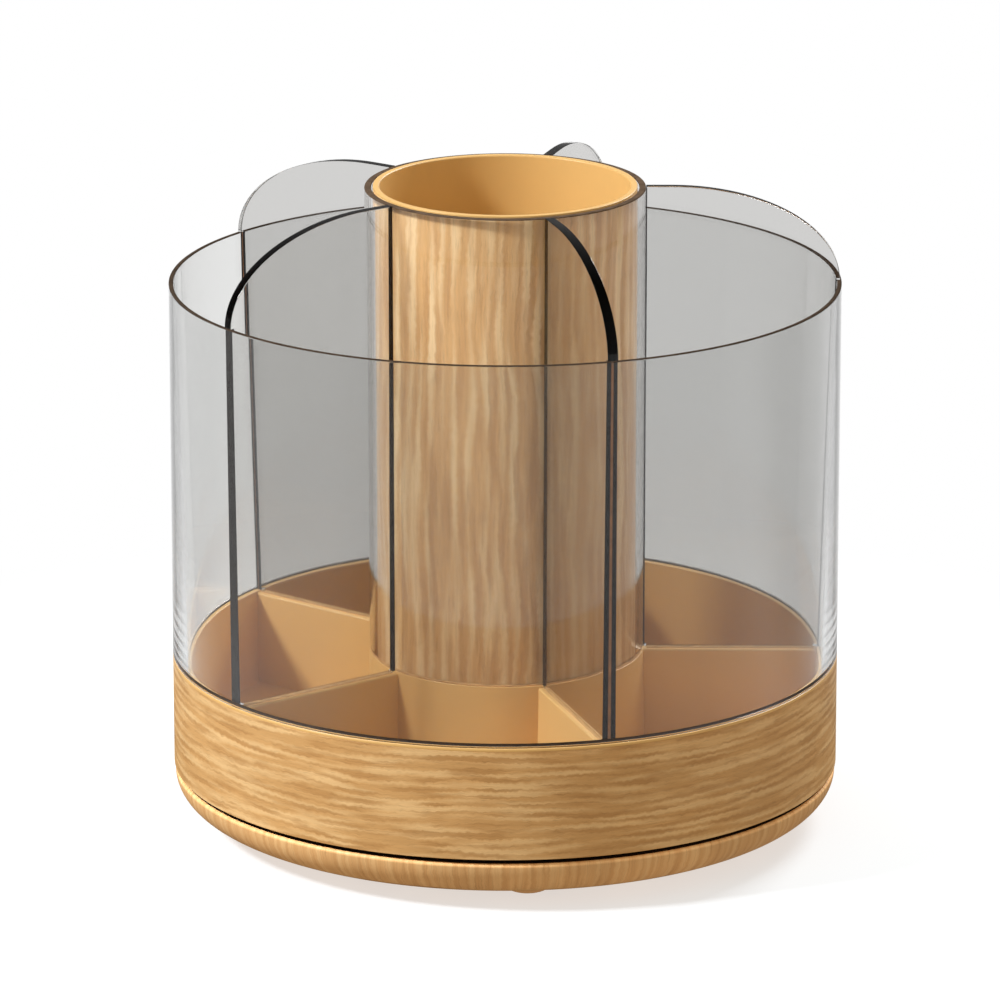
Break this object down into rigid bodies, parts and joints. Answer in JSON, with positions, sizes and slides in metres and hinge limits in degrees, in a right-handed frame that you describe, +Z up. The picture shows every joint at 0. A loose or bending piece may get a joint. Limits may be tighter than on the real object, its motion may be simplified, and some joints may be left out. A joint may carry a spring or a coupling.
{
  "type": "rotating makeup organizer",
  "caption": "Round rotating makeup organizer: wood base, turning wood-banded tray, clear wall with curved clear dividers, and a lift-out wood-grain brush cup in the middle.",
  "frame": {"origin": "on the turning axis, at the level of the surface that the feet stand on", "axes": "+Z up along the turning axis; -Y towards the viewer of the picture; +X to the viewer's right, along the first divider"},
  "size_m": [0.16, 0.16, 0.1555],
  "materials": {
    "base_wood": "satin wood, fine upright grain",
    "band_wood_grain": "satin wood-grain band, grain running round",
    "cup_wood_grain": "satin wood-grain wrap, upright grain",
    "tan_plastic": "smooth satin moulding",
    "clear_plastic": "clear, slightly grey, polished",
    "foot_rubber": "matt",
    "race_steel": "pressed and polished",
    "screw_steel": "zinc plated",
    "ball_chrome": "polished",
    "insert_brass": "turned",
    "nylon": "natural nylon"
  },
  "bodies": {
    "base_unit": {"base": "base_wood", "lower_race": "race_steel", "lower_race_screws": "screw_steel", "threaded_insert": "insert_brass", "pivot_screw": "screw_steel", "pivot_washer": "nylon", "foot_1": "foot_rubber", "foot_2": "foot_rubber", "foot_3": "foot_rubber", "foot_4": "foot_rubber"},
    "ball_ring": {"ball_cage": "nylon", "bearing_balls": "ball_chrome"},
    "turntable": {"tray": "tan_plastic", "tray_band": "band_wood_grain", "upper_race": "race_steel", "upper_race_screws": "screw_steel", "pivot_bush": "nylon", "clear_wall": "clear_plastic", "clear_tube": "clear_plastic", "divider_1": "clear_plastic", "divider_2": "clear_plastic", "divider_3": "clear_plastic", "divider_4": "clear_plastic", "divider_5": "clear_plastic"},
    "cup_unit": {"brush_cup": "tan_plastic", "cup_wrap": "cup_wood_grain"}
  },
  "joints": [
    {"name": "turntable_spin", "type": "hinge", "parent": "base_unit", "child": "turntable", "pos_m": [0, 0, 0.015], "axis": [0, 0, 1], "continuous": true},
    {"name": "ball_ring_roll", "type": "hinge", "parent": "base_unit", "child": "ball_ring", "pos_m": [0, 0, 0.0107], "axis": [0, 0, 1], "continuous": true},
    {"name": "cup_lift", "type": "slide", "parent": "turntable", "child": "cup_unit", "axis": [0, 0, 1], "range_m": [0, 0.13]}
  ],
  "couplings": [
    {"joint": "ball_ring_roll", "follows": "turntable_spin", "ratio": 0.5}
  ]
}
